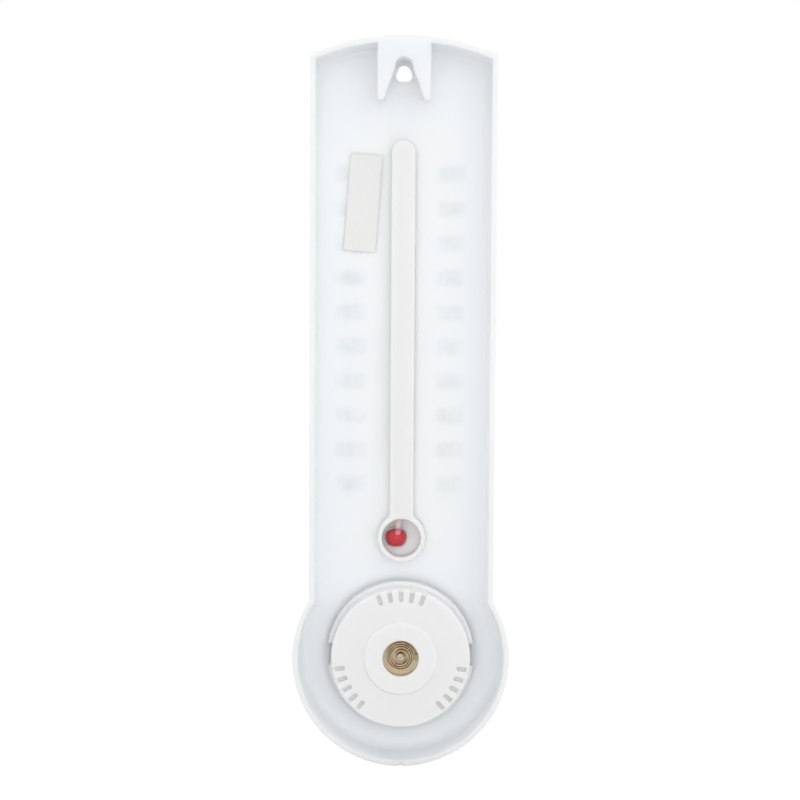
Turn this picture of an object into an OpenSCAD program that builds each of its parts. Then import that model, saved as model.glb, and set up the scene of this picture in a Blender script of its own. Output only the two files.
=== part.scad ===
// Wall thermometer with a round dial hygrometer below it, in a white moulded case that is open
// at the back. Millimetres. The origin is the point where the nail bears, in the plane of the
// rear rim: +Z is up, the wall is at +Y and the scale faces -Y. Depths are measured from the
// rear rim towards the front, so a depth d lies at y = -d.

/* [Case] */
// Height of the case from the bottom of the bowl to the top of the arch
case_h = 200; // [185:1:215]
// Width of the long upper body
body_w = 50.8; // [47:0.5:54]
// Depth from the rear rim to the front face
case_d = 14; // [13.5:0.1:17]
// Thickness of the side walls
wall_t = 1.5; // [1.1:0.1:2]
// Thickness of the front plate
front_t = 1.6; // [1.3:0.1:2.2]
// Rounding of the front edges of the upper body
edge_r = 3.6; // [2.6:0.1:4.6]
// How far each side leans in from the rim to the front
side_draft = 0.4; // [0.2:0.1:0.8]
// Radius of the arched top
top_r = 65; // [55:0.5:90]
// Rounding of the two top corners
corner_r = 1.5; // [0.8:0.1:2.5]
// Diameter of the round bowl at the bottom
bowl_d = 59.8; // [57:0.2:64]
// Rounding of the front edge of the bowl
bowl_edge_r = 4.3; // [3.6:0.1:5.6]
// Width of the small notch in the bottom of the rim
notch_w = 1.5; // [1:0.1:3]
// Depth of the small notch in the bottom of the rim
notch_d = 0.9; // [0.5:0.1:2]

/* [Hanging hole] */
// Distance from the nail up to the top of the case
hole_to_top = 8.1; // [7:0.1:11]
// Width of the hole that goes through the front plate
nail_hole_w = 4.4; // [4.3:0.1:5]
// Height of the hole that goes through the front plate
nail_hole_h = 4.4; // [4.2:0.1:5.4]
// Chamfer of the two lower corners of that hole
nail_chamfer = 0.9; // [0.4:0.1:1.4]
// How far the roof of that hole lies below the roof of the channel behind it
nail_step = 1.3; // [0.9:0.1:1.6]
// Width of the arched channel that leads to the hole
channel_w = 4.9; // [4.6:0.1:5.6]
// Width of the moulded block round the channel
block_w = 14.6; // [12.5:0.1:18]
// How far the legs of the block run below the nail
block_drop = 9.3; // [8:0.1:12]
// Draft of the lower ends of the legs, in degrees
block_lean = 5.5; // [3:0.5:6]
// Width between the feet of the legs
funnel_w = 11.3; // [8:0.1:11.6]
// Radius of the mound round the hole, where it meets the plate
mound_r = 6.2; // [5.8:0.1:7]
// Height of the mound round the hole
mound_h = 2.2; // [1:0.1:3]

/* [Thermometer tube] */
// Outer diameter of the glass tube
tube_d = 3; // [2.7:0.1:3.6]
// Diameter of the bore of the glass tube
bore_d = 1; // [0.9:0.05:1.3]
// How far the tube lies to one side of the middle of the case
tube_x = 0.9; // [0.3:0.05:1]
// Distance from the nail down to the top of the tube
tube_top_drop = 21.3; // [20.8:0.1:23]
// Outer diameter of the blown bulb
bulb_d = 6.4; // [5.8:0.1:7]
// Thickness of the glass of the bulb
bulb_wall = 0.2; // [0.15:0.05:0.35]
// How far the bulb sits to one side of the tube
bulb_off = 0.55; // [0.55:0.05:0.8]
// Distance from the middle of the bulb down to its flat end
bulb_flat = 2.7; // [2.4:0.1:3]
// Distance from the middle of the dial up to the middle of the bulb
bulb_rise = 32.7; // [31.5:0.1:34]
// Clearance between the spirit and the glass round it
spirit_gap = 0.05; // [0.03:0.01:0.1]
// Length of the topmost stretch of the spirit column
spirit_top_len = 8; // [7:0.5:10]

/* [Scale] */
// Distance from the nail down to the highest mark
scale_top_drop = 28.4; // [28:0.1:31]
// Distance from the middle of the bulb up to the lowest mark
scale_foot_rise = 24.4; // [22:0.1:27]
// Highest temperature on the scale, in degrees Celsius
scale_high = 50; // [40:5:50]
// Lowest temperature on the scale, in degrees Celsius
scale_low = -30; // [-40:5:-20]
// Temperature that the column stands at, in degrees Celsius
reading = 22; // [10:1:30]

/* [Tube slot and cover] */
// Width of the slot in the front plate
slot_w = 2.2; // [1.8:0.1:2.4]
// Bevel along the front of the slot
slot_bevel = 1.3; // [0.8:0.1:1.5]
// Distance from the nail down to the top of the slot
slot_top_drop = 25; // [24.5:0.1:27]
// Distance from the middle of the bulb up to the bottom of the slot
slot_foot_rise = 10; // [9:0.5:14]
// Height of the lips that the tube lies on, above the inside of the plate
lip_h = 1; // [0.7:0.1:1.3]
// Wall of the tube cover
cover_wall = 0.85; // [0.8:0.05:1.3]
// Distance from the nail down to the top of the tube cover
cover_top_drop = 19.2; // [18:0.1:19.8]
// Free space between the tube and the roof of its cover
roof_gap = 0.6; // [0.4:0.1:1]
// Free space between the tube and the nearer wall of its cover
cheek_gap = 0.1; // [0.1:0.05:0.4]
// Bore of the ring round the bulb
ring_bore = 10.8; // [10.4:0.1:11.4]
// Wall of the ring round the bulb
ring_wall = 1.3; // [0.9:0.1:1.6]
// Concave blend where the cover runs into its ring
ring_blend = 3; // [2:0.1:4]
// Rounding of the outer edges of the tube cover
cover_edge_r = 0.7; // [0.3:0.1:0.8]
// Number of ribs that hold the tube inside its cover
rib_count = 4; // [3:1:5]
// Thickness of each rib
rib_t = 1.2; // [0.9:0.1:1.6]

/* [Hygrometer housing] */
// How far the dial lies below the middle of the bowl
dial_drop = 0.3; // [0:0.1:1]
// Diameter of the printed dial plate
dial_d = 36.2; // [34:0.1:36.4]
// Thickness of the dial plate
dial_t = 0.4; // [0.3:0.05:0.6]
// Depth of the dial's face behind the front of the case
dial_recess = 2.95; // [2.9:0.05:3.3]
// Wall of the bezel's barrel
barrel_wall = 1.15; // [1:0.05:1.3]
// Height of the collar on the plate that carries the housing
collar_h = 3.2; // [2.9:0.1:3.4]
// Wall of that collar
collar_wall = 1.2; // [1:0.1:1.6]
// Thickness of the housing's back and skirt
housing_wall = 1.2; // [1:0.05:1.3]
// Rounding of the housing's rear edge
housing_edge_r = 0.6; // [0.3:0.1:0.9]
// Thickness of the housing's flange
flange_t = 1.2; // [0.9:0.1:1.5]
// Half of the angle of each gap at the sides of the flange
flange_gap = 9; // [6:1:14]
// Width of the notch at the bottom of the flange
pry_notch_w = 9; // [6:0.5:12]
// Diameter of the raised boss on the back
boss_d = 20.2; // [16:0.5:24]
// Height of that boss
boss_h = 0.6; // [0.3:0.1:0.8]
// Diameter of the air hole in the boss
air_hole_d = 10; // [9:0.1:10.3]
// Width of each vent slot
vent_w = 1.2; // [1:0.1:1.7]
// Radius at which the vent slots start
vent_in_r = 15.7; // [14.8:0.1:16]
// Radius at which the vent slots end
vent_out_r = 18.3; // [17.8:0.1:18.6]
// Vent slots in each group
vent_count = 5; // [3:1:7]
// Angle between neighbouring vent slots
vent_step = 10; // [8:0.5:11]
// Depth of the shallow run that leads from each vent over the rim
vent_run = 0.5; // [0.3:0.1:0.8]
// Thickness of the felt ring behind the vents, which keeps dust out
felt_t = 0.4; // [0.3:0.05:0.6]
// How far that ring reaches in past the vents
felt_lap = 0.7; // [0.4:0.1:1.2]

/* [Bezel and window] */
// How far the bezel stands in front of the case
bezel_h = 2; // [1.6:0.1:2.6]
// How far the bezel's flange reaches past its barrel
bezel_lap = 2.3; // [1.6:0.1:3]
// Thickness of the window
window_t = 1; // [0.8:0.1:1.2]
// Width of the lip that holds the window
window_lip = 0.7; // [0.5:0.1:1]
// Thickness of the ring between window and dial
spacer_t = 0.6; // [0.5:0.1:1]
// Depth of the room between dial and window
pointer_room = 2.8; // [2.6:0.1:2.9]
// Play of the window in the bezel
window_play = 0.3; // [0.2:0.05:0.5]

/* [Movement] */
// Diameter of the slotted rear end of the arbor
arbor_d = 2.2; // [2:0.05:2.4]
// Diameter of the arbor where it turns in its bush
journal_d = 1.2; // [1:0.05:1.4]
// Radial clearance of the arbor in its bush
running_gap = 0.04; // [0.02:0.01:0.08]
// Length of the bush between the dial and its rear shoulder
bush_len = 3.5; // [3.2:0.1:3.6]
// Diameter of the body of the bush
bush_d = 4; // [3.6:0.1:4.6]
// Diameter of the neck that the coil cup turns on
neck_d = 2.6; // [2.3:0.05:2.8]
// Thickness of the collar and rivet head at the ends of the bush
rivet_t = 0.3; // [0.2:0.05:0.35]
// Thickness of the friction washer
washer_t = 0.25; // [0.15:0.05:0.3]
// Inner diameter of the coil cup
cup_d = 10.6; // [10.4:0.05:10.8]
// Thickness of the coil cup's metal
cup_wall = 0.3; // [0.2:0.05:0.35]
// Depth of the coil cup
cup_depth = 3.1; // [2.9:0.1:3.2]
// Width of the coil's strip
coil_w = 2.3; // [2:0.1:2.4]
// Thickness of the coil's strip
coil_t = 0.15; // [0.1:0.01:0.18]
// Distance between the turns of the coil
coil_pitch = 0.6; // [0.59:0.01:0.62]
// Turns of the coil at that pitch
coil_turns = 3; // [2:0.25:3]
// Side of the square window in the floor of the cup
cup_window = 1.3; // [1:0.1:1.4]
// Where that window lies round the cup, in degrees from the top
cup_window_at = 214; // [150:1:300]
// Length of the pointer from the arbor to its tip
pointer_len = 13.5; // [11:0.1:14.5]
// Length of the pointer's tail
pointer_tail = 5; // [4:0.1:6]
// Thickness of the pointer's sheet metal
pointer_t = 0.25; // [0.2:0.05:0.4]
// Diameter of the pointer's hub
hub_d = 3.2; // [2.8:0.1:4]
// Height of the pointer's hub
hub_len = 1.7; // [1.5:0.1:1.9]
// Free height between the bush and the hub
hub_lift = 0.25; // [0.2:0.05:0.3]
// How far in front of the hub's back the pointer is staked
pointer_lift = 0.6; // [0.4:0.1:0.8]
// Diameter of the balance weight on the tail
weight_d = 2.4; // [2:0.1:3]

/* [Sticker] */
// Width of the blank sticker
sticker_w = 8.8; // [7:0.1:10]
// Height of the blank sticker
sticker_h = 26.8; // [20:0.1:32]
// Thickness of the sticker
sticker_t = 0.15; // [0.1:0.05:0.3]
// How far the middle of the sticker lies to one side
sticker_x = 11.2; // [10:0.1:12]
// Distance from the nail down to the middle of the sticker
sticker_drop = 36.5; // [34:0.5:60]
// Lean of the sticker in degrees
sticker_lean = 4.2; // [0:0.1:8]

/* [Hidden] */

$fn = 72;

// Small overlap that keeps a cut from ending exactly on a face
over = 1;
// Steps of a quarter round in a profile
round_steps = 9;
// Clearance between pieces that lie against each other
seat_gap = 0.05;
// Clearance between pieces that slip into each other
fit_gap = 0.1;

// The case and its floor, which is the inside of the front plate
bowl_r = bowl_d / 2;
bowl_z = hole_to_top - case_h + bowl_r;
dial_z = bowl_z - dial_drop;
bulb_z = dial_z + bulb_rise;
arch_z = hole_to_top - top_r;
floor_d = case_d - front_t;
floor_draft = side_draft * floor_d / case_d;

// The hole through the front plate narrows towards its round top
nail_r = nail_hole_w / 2;
nail_top_r = nail_r - 0.4;
nail_top = channel_w / 2 - nail_step;
nail_bottom = nail_top - nail_hole_h;
mound_top_r = nail_r + 0.7;
mound_z = nail_top - nail_hole_h / 2;

// The tube lies on the two rear edges of the slot's lips
tube_r = tube_d / 2;
bore_r = bore_d / 2;
lip_d = floor_d - lip_h;
lip_gap = slot_w + 0.2;
tube_depth = lip_d - sqrt(pow(tube_r + seat_gap, 2) - pow(lip_gap / 2, 2));
bulb_r = bulb_d / 2;
bulb_x = tube_x + bulb_off;
bulb_fill_r = bulb_r - bulb_wall;
tube_top_z = -tube_top_drop;
guard_gap = 0.25;
guard_wall = 1.1;
slot_top_z = -slot_top_drop;
slot_bottom_z = bulb_z + slot_foot_rise;

// The cover stands on the floor over the tube
channel_half = tube_x + tube_r + cheek_gap;
cover_half = channel_half + cover_wall;
cover_back = tube_depth - tube_r - roof_gap - cover_wall;
cover_top_z = -cover_top_drop;
ring_r = ring_bore / 2 + ring_wall;
lip_end = 1;
rib_top = slot_top_z - 3;
rib_bottom = slot_bottom_z + 5;

// The spirit column stands at the reading
degree_h = (-scale_top_drop - bulb_z - scale_foot_rise) / (scale_high - scale_low);
column_top_z = -scale_top_drop - (scale_high - reading) * degree_h;
column_joint_z = column_top_z - spirit_top_len;
column_foot_z = bulb_z + bulb_r + 1;

// The hygrometer is built forwards and backwards from its dial
dial_r = dial_d / 2;
dial_face = case_d - dial_recess;
dial_rear = dial_face - dial_t;
barrel_bore = dial_r + seat_gap;
barrel_r = barrel_bore + barrel_wall;
opening_r = barrel_r + fit_gap;
collar_r = opening_r + collar_wall;
collar_top = floor_d - collar_h;
skirt_r = dial_r + housing_wall;
flange_r = collar_r - fit_gap;
spigot_r = dial_r - seat_gap;
housing_bore = spigot_r - housing_wall;
gap_relief = 0.1;
window_r = dial_r - window_play;
window_back = dial_face + pointer_room;
window_front = window_back + window_t;
bezel_front = case_d + bezel_h;

// The movement, from the dial plate rearwards
shoulder_d = dial_rear - bush_len;
cup_gap = 0.03;
cup_floor_front = shoulder_d - washer_t - cup_gap;
cup_floor_back = cup_floor_front - cup_wall;
collar_front = cup_floor_back - cup_gap;
collar_back = collar_front - rivet_t;
cup_rim = cup_floor_back - cup_depth;
cup_r = cup_d / 2;
neck_r = neck_d / 2;
rivet_lap = 0.35;
journal_r = journal_d / 2;
arbor_r = arbor_d / 2;
head_front = collar_back - seat_gap;
coil_front = head_front - seat_gap;
coil_back = coil_front - coil_w;
head_back = coil_back - 0.2;
housing_inside = cup_rim - 0.2;
felt_seat = housing_inside + felt_t + seat_gap;
felt_seat_r = vent_out_r + 2 * seat_gap;
housing_back = housing_inside - housing_wall;
boss_back = housing_back - boss_h;
hub_back = dial_face + rivet_t + hub_lift;
hub_rim = 0.3;
pointer_back = hub_back + pointer_lift;

// The coil leaves the arbor's slot, runs out in a wide lead and then winds evenly
slot_angle = -25;
lead_turns = 0.6;
coil_start_r = arbor_r + 0.1;
coil_inner_r = arbor_r + 1.15;
coil_points_per_turn = 26;
total_turns = lead_turns + coil_turns;
arbor_slot_w = coil_t + 0.1;

function ease(t) = t * t * (3 - 2 * t);
function coil_radius(t) =
    t < lead_turns
    ? coil_start_r + (coil_inner_r - coil_start_r) * t / lead_turns
    : coil_inner_r + (t - lead_turns) * coil_pitch;
function on_coil(t) = coil_radius(t) * [cos(360 * t), sin(360 * t)];
coil_steps = round(total_turns * coil_points_per_turn);
coil_path = concat([[-arbor_r + 0.1, 0], [0, 0], [arbor_r - 0.2, 0]],
                   [for (i = [0:coil_steps]) on_coil(total_turns * i / coil_steps)]);
coil_end = on_coil(total_turns);
coil_end_r = norm(coil_end);

// Unit normal of a path at one of its points, from its two neighbours
function path_normal(path, i) =
    let (a = path[max(i - 1, 0)], b = path[min(i + 1, len(path) - 1)], d = b - a)
    [-d.y, d.x] / norm(d);
function strip_outline(path, t) =
    concat([for (i = [0:len(path) - 1]) path[i] + path_normal(path, i) * t / 2],
           [for (i = [len(path) - 1:-1:0]) path[i] - path_normal(path, i) * t / 2]);

// Least gap of the coil to itself, over pairs of points more than half a turn apart
apart = floor(coil_points_per_turn / 2);
coil_gap = min([for (i = [3:len(coil_path) - 1]) for (j = [i + apart:1:len(coil_path) - 1])
                norm(coil_path[i] - coil_path[j])]) - coil_t;
echo(least_gap_of_the_coil_to_itself = coil_gap);

// A profile's front corner: a leaning side, a quarter round and the flat front
function rounded_front(half, depth, r, draft) =
    let (a = atan(draft / depth), c = half - (r + (depth - r) * sin(a)) / cos(a))
    [for (i = [0:round_steps]) let (t = a + (90 - a) * i / round_steps)
        [c + r * cos(t), depth - r + r * sin(t)]];

// Half of a tray's section, from the middle line outwards; lead reaches out behind the rim
function tray_half(half, depth, r, draft, lead) =
    concat([[0, -lead], [half, -lead], [half, 0]], rounded_front(half, depth, r, draft),
           [[0, depth]]);

// The whole section of a tray for an upright prism, with depth along -Y
function tray_section(half, depth, r, draft, lead) =
    let (edge = concat([[half, -lead], [half, 0]], rounded_front(half, depth, r, draft)),
         n = len(edge) - 1)
    concat([for (i = [0:n]) [edge[i].x, -edge[i].y]],
           [for (i = [n:-1:0]) [-edge[i].x, -edge[i].y]]);

// Points of an arc about c, from angle a0 to a1
function arc(c, r, a0, a1, n = 12) =
    [for (i = [0:n]) let (a = a0 + (a1 - a0) * i / n) c + r * [cos(a), sin(a)]];

// Carries a drawing in X and Z through the depths d0 to d1
module slab(d0, d1) {
    rotate([90, 0, 0]) translate([0, 0, d0]) linear_extrude(d1 - d0) children();
}

// Turns a drawing in radius and depth about an axis along Y at height z
module spun(z, x = 0) {
    translate([x, 0, z]) rotate([90, 0, 0]) rotate_extrude() children();
}

// A disc or drum between two depths
module drum(z, r, d0, d1, x = 0) {
    translate([x, 0, z]) rotate([90, 0, 0]) translate([0, 0, d0]) cylinder(r = r, h = d1 - d0);
}

// Part of a ring between two radii and depths, from angle a0 through a degrees
module ring_piece(z, r0, r1, d0, d1, a0, a) {
    translate([0, 0, z]) rotate([90, 0, 0]) rotate([0, 0, a0])
        rotate_extrude(angle = a) translate([r0, d0]) square([r1 - r0, d1 - d0]);
}

// The long body: a prism with rounded edges, its top end cut to the arch
module body_form(inset, depth, r, draft, lead) {
    intersection() {
        translate([0, 0, bowl_z]) linear_extrude(hole_to_top - bowl_z + over)
            polygon(tray_section(body_w / 2 - inset, depth, r, draft, lead));
        union() {
            spun(arch_z) polygon(tray_half(top_r - inset, depth, r, draft, lead));
            translate([-body_w, -depth - over, bowl_z - over])
                cube([2 * body_w, depth + lead + 2 * over, arch_z - bowl_z + over]);
        }
    }
}

module bowl_form(inset, depth, r, draft, lead) {
    spun(bowl_z) polygon(tray_half(bowl_r - inset, depth, r, draft, lead));
}

// What is cut away outside the rounding of one top corner
module corner_cut() {
    c = [body_w / 2 - corner_r,
         arch_z + sqrt(pow(top_r - corner_r, 2) - pow(body_w / 2 - corner_r, 2))];
    lean = atan2(c.y - arch_z, c.x);
    far = c + 3 * corner_r * [1, 1];
    slab(-over, case_d + over)
        polygon(concat(arc(c, corner_r, 0, lean, 6),
                       [c + 3 * corner_r * [cos(lean), sin(lean)], far, [far.x, c.y]]));
}

module case_outside() {
    difference() {
        body_form(0, case_d, edge_r, side_draft, 0);
        corner_cut();
        mirror([1, 0, 0]) corner_cut();
    }
    bowl_form(0, case_d, bowl_edge_r, side_draft, 0);
}

module case_inside() {
    body_form(wall_t, floor_d, edge_r - wall_t, floor_draft, over);
    bowl_form(wall_t, floor_d, bowl_edge_r - wall_t, floor_draft, over);
}

// The block with the channel for the nail, open below between its two legs
module hanging_block() {
    difference() {
        slab(0, floor_d + over) difference() {
            translate([-block_w / 2, -block_drop]) square([block_w, block_drop + hole_to_top]);
            circle(r = channel_w / 2);
            polygon([[-channel_w / 2, 0], [channel_w / 2, 0],
                     [funnel_w / 2, -block_drop - 0.01], [-funnel_w / 2, -block_drop - 0.01]]);
        }
        translate([-block_w, 0, -block_drop]) rotate([-block_lean, 0, 0])
            translate([0, -2 * case_d, -case_d]) cube([2 * block_w, 2 * case_d + over, case_d]);
    }
}

// The mound that stiffens the plate round the hole
module hole_mound() {
    spun(mound_z) polygon([[0, floor_d - mound_h], [mound_top_r, floor_d - mound_h],
                           [mound_r, floor_d], [mound_r, floor_d + over],
                           [0, floor_d + over]]);
}

// Two lips beside the slot, which the tube lies on
module tube_lips() {
    half = channel_half - fit_gap;
    for (x = [-half, tube_x + lip_gap / 2])
        slab(lip_d, floor_d + over)
            translate([x, slot_bottom_z - lip_end])
            square([(x < 0 ? tube_x - lip_gap / 2 : half) - x,
                    slot_top_z - slot_bottom_z + 2 * lip_end]);
}

// The collar that carries the housing, open at both sides where the housing is hooked in
module dial_collar() {
    for (a = [0, 180])
        ring_piece(dial_z, opening_r - over / 2, collar_r, collar_top, floor_d + over,
                   a + flange_gap, 180 - 2 * flange_gap);
}

// The low dome over the bulb, on the front
module bulb_guard() {
    intersection() {
        translate([bulb_x, -tube_depth, bulb_z]) sphere(r = bulb_r + guard_gap + guard_wall);
        slab(case_d - front_t / 2, case_d + bulb_r)
            translate([bulb_x - bulb_d, bulb_z - bulb_d]) square(2 * bulb_d);
    }
}

// The hole for the nail, and the dimple in front that follows the mound
module nail_opening() {
    slab(-over, case_d + over) {
        hull() {
            translate([0, nail_top - nail_top_r]) circle(r = nail_top_r);
            polygon([[nail_r, nail_bottom + 2 * nail_chamfer],
                     [nail_r, nail_bottom + nail_chamfer],
                     [nail_r - nail_chamfer, nail_bottom],
                     [-nail_r + nail_chamfer, nail_bottom],
                     [-nail_r, nail_bottom + nail_chamfer],
                     [-nail_r, nail_bottom + 2 * nail_chamfer]]);
        }
    }
    dimple = floor_d - mound_h + front_t;
    lean = (mound_r - mound_top_r) / mound_h;
    spun(mound_z) polygon([[0, dimple], [mound_top_r - 0.3, dimple],
                           [mound_top_r - 0.3 + lean * (case_d - dimple), case_d],
                           [mound_top_r - 0.3 + lean * (case_d - dimple), case_d + over],
                           [0, case_d + over]]);
}

// The slot for the tube with its front bevel, whose ends are turned
module tube_slot() {
    half = slot_w / 2;
    start = floor_d - lip_h / 2;
    translate([tube_x, 0, 0]) {
        slab(start, case_d + over)
            translate([-half, slot_bottom_z + half])
            square([slot_w, slot_top_z - slot_bottom_z - slot_w]);
        translate([0, 0, slot_bottom_z + half])
            linear_extrude(slot_top_z - slot_bottom_z - slot_w)
            polygon([[-half, -case_d + slot_bevel], [half, -case_d + slot_bevel],
                     [half + slot_bevel + over, -case_d - over],
                     [-half - slot_bevel - over, -case_d - over]]);
        for (z = [slot_bottom_z + half, slot_top_z - half])
            spun(z) polygon([[0, start], [half, start],
                             [half, case_d - slot_bevel],
                             [half + slot_bevel + over, case_d + over],
                             [0, case_d + over]]);
    }
}

module case() {
    color("whitesmoke") difference() {
        union() {
            difference() {
                case_outside();
                difference() {
                    case_inside();
                    hanging_block();
                    hole_mound();
                    tube_lips();
                    dial_collar();
                }
            }
            bulb_guard();
        }
        nail_opening();
        tube_slot();
        drum(dial_z, opening_r, -over, case_d + over);
        translate([bulb_x, -tube_depth, bulb_z]) sphere(r = bulb_r + guard_gap);
        slab(-over, notch_d)
            translate([-notch_w / 2, bowl_z - bowl_r - over]) square([notch_w, wall_t + 2 * over]);
    }
}

// The cover's outside at one place: a half section from its middle to its rounded edge
function cover_half_section(half) =
    let (r = cover_edge_r)
    concat([[0, cover_back]], [for (p = arc([half - r, cover_back + r], r, -90, 0, 6)) p],
           [[half, floor_d], [0, floor_d]]);

module cover_outside() {
    side = cover_half_section(cover_half);
    n = len(side) - 2;
    translate([0, 0, bulb_z]) linear_extrude(cover_top_z - cover_half - bulb_z)
        polygon(concat([for (i = [1:n]) [side[i].x, -side[i].y]],
                       [for (i = [n:-1:1]) [-side[i].x, -side[i].y]]));
    spun(cover_top_z - cover_half) polygon(side);
    spun(bulb_z) polygon(cover_half_section(ring_r));
    for (s = [0, 1]) mirror([s, 0, 0]) cover_blend();
}

// The concave blend between the cover's side and its ring
module cover_blend() {
    c = [cover_half + ring_blend,
         bulb_z + sqrt(pow(ring_r + ring_blend, 2) - pow(cover_half + ring_blend, 2))];
    lean = atan2(bulb_z - c.y, -c.x);
    slab(cover_back + cover_edge_r / 2, floor_d)
        polygon(concat(arc(c, ring_blend, 180, 360 + lean, 8),
                       [[cover_half - cover_edge_r, bulb_z], [cover_half - cover_edge_r, c.y]]));
}

module tube_cover() {
    roof = cover_back + cover_wall;
    ribs = [for (i = [0:rib_count - 1]) rib_bottom + (rib_top - rib_bottom) * i / (rib_count - 1)];
    color("white") difference() {
        union() {
            difference() {
                cover_outside();
                translate([-channel_half, -floor_d - over, bulb_z])
                    cube([2 * channel_half, floor_d - roof + over,
                          cover_top_z - cover_half - bulb_z]);
                drum(cover_top_z - cover_half, channel_half, roof, floor_d + over);
            }
            for (z = ribs)
                translate([-channel_half - seat_gap, -tube_depth, z - rib_t / 2])
                    cube([2 * channel_half + 2 * seat_gap, tube_depth - roof + seat_gap, rib_t]);
        }
        drum(bulb_z, ring_bore / 2, cover_back - over, floor_d + over);
        translate([tube_x, -tube_depth, bulb_z]) cylinder(r = tube_r + seat_gap, h = -bulb_z);
    }
}

// The bulb's outline is a ball with a flat lower end
module bulb_ball(r, flat) {
    translate([bulb_x, -tube_depth, bulb_z]) intersection() {
        sphere(r = r);
        translate([-r - over, -r - over, -flat]) cube([2 * r + 2 * over, 2 * r + 2 * over, 2 * r]);
    }
}

module glass_tube() {
    color("lightcyan") difference() {
        union() {
            translate([tube_x, -tube_depth, bulb_z])
                cylinder(r = tube_r, h = tube_top_z - tube_r - bulb_z);
            translate([tube_x, -tube_depth, tube_top_z - tube_r]) sphere(r = tube_r);
            bulb_ball(bulb_r, bulb_flat);
        }
        translate([tube_x, -tube_depth, bulb_z])
            cylinder(r = bore_r, h = tube_top_z - tube_d - bulb_z);
        bulb_ball(bulb_fill_r, bulb_flat - bulb_wall);
    }
}

module bulb_spirit() {
    color("crimson") {
        bulb_ball(bulb_fill_r - spirit_gap, bulb_flat - bulb_wall - spirit_gap);
        translate([tube_x, -tube_depth, bulb_z])
            cylinder(r = bore_r - spirit_gap, h = column_foot_z - bulb_z);
    }
}

module spirit_thread() {
    color("crimson") translate([tube_x, -tube_depth, column_foot_z])
        cylinder(r = bore_r - spirit_gap, h = column_joint_z - column_foot_z);
}

module spirit_top() {
    color("crimson") translate([tube_x, -tube_depth, column_joint_z])
        cylinder(r = bore_r - spirit_gap, h = spirit_top_len);
}

// A group of slots with round inner ends, cut from behind down to a depth
module vent_group(middle, in_r, out_r, depth) {
    for (i = [0:vent_count - 1])
        translate([0, 0, dial_z])
            rotate([0, middle + (i - (vent_count - 1) / 2) * vent_step, 0]) {
                slab(boss_back - over, depth)
                    translate([-vent_w / 2, in_r + vent_w / 2])
                    square([vent_w, out_r - in_r - vent_w / 2]);
                drum(in_r + vent_w / 2, vent_w / 2, boss_back - over, depth);
            }
}

// The flange is open at both sides and has a notch at the bottom
module flange_cuts() {
    pry = asin(pry_notch_w / 2 / flange_r);
    for (cut = [[0, flange_gap], [180, flange_gap], [270, pry]])
        ring_piece(dial_z, skirt_r - gap_relief, flange_r + over, collar_top - flange_t - over,
                   collar_top + over, cut[0] - cut[1], 2 * cut[1]);
}

module module_housing() {
    r = housing_edge_r;
    color("white") difference() {
        spun(dial_z) polygon(concat(
            [[0, boss_back], [boss_d / 2 - boss_h / 2, boss_back], [boss_d / 2, housing_back]],
            arc([skirt_r - r, housing_back + r], r, -90, 0, 6),
            [[skirt_r, collar_top - flange_t], [flange_r, collar_top - flange_t],
             [flange_r, collar_top], [spigot_r, collar_top],
             [spigot_r, dial_rear - seat_gap], [housing_bore, dial_rear - seat_gap],
             [housing_bore, felt_seat], [felt_seat_r, felt_seat],
             [felt_seat_r, housing_inside], [0, housing_inside]]));
        flange_cuts();
        drum(dial_z, air_hole_d / 2, boss_back - over, housing_inside + over);
        for (middle = [0, 120, 240]) {
            vent_group(middle, vent_in_r, vent_out_r, housing_inside + seat_gap);
            vent_group(middle, vent_out_r - vent_w, skirt_r + over, housing_back + vent_run);
        }
    }
}

// Felt, cemented into its groove behind the vents
module dust_ring() {
    color("ivory") ring_piece(dial_z, vent_in_r - felt_lap, felt_seat_r - seat_gap,
                              housing_inside, housing_inside + felt_t, 0, 360);
}

module bezel_ring() {
    lip_r = window_r - window_lip;
    r = bezel_h / 2;
    out = barrel_r + bezel_lap;
    color("white") spun(dial_z) polygon(concat(
        [[barrel_bore, collar_top + fit_gap], [barrel_r, collar_top + fit_gap],
         [barrel_r, case_d], [out, case_d]],
        arc([out - r, bezel_front - r], r, 0, 90, 6),
        [[lip_r + r, bezel_front]],
        arc([lip_r + r, bezel_front - r], r, 90, 150, 4),
        [[lip_r, window_front], [window_r + seat_gap, window_front],
         [window_r + seat_gap, dial_face], [barrel_bore, dial_face]]));
}

module dial_window() {
    color([0.8, 0.9, 0.95, 0.35]) drum(dial_z, window_r, window_back, window_front - 0.02);
}

module dial_spacer() {
    color("white") spun(dial_z)
        translate([window_r - spacer_t, dial_face])
        square([spacer_t, window_back - dial_face]);
}

module dial_plate() {
    color("white") difference() {
        drum(dial_z, dial_r, dial_rear, dial_face);
        drum(dial_z, neck_r, dial_rear - over, dial_face + over);
    }
}

module bearing_bush() {
    bore = journal_r + running_gap;
    color("goldenrod") spun(dial_z)
        polygon([[bore, collar_back], [neck_r + rivet_lap, collar_back],
                 [neck_r + rivet_lap, collar_front], [neck_r, collar_front],
                 [neck_r, shoulder_d], [bush_d / 2, shoulder_d], [bush_d / 2, dial_rear],
                 [neck_r, dial_rear], [neck_r, dial_face], [neck_r + rivet_lap, dial_face],
                 [neck_r + rivet_lap, dial_face + rivet_t], [bore, dial_face + rivet_t]]);
}

module friction_washer() {
    color("silver") spun(dial_z)
        translate([neck_r + running_gap, shoulder_d - washer_t])
        square([0.9, washer_t]);
}

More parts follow.
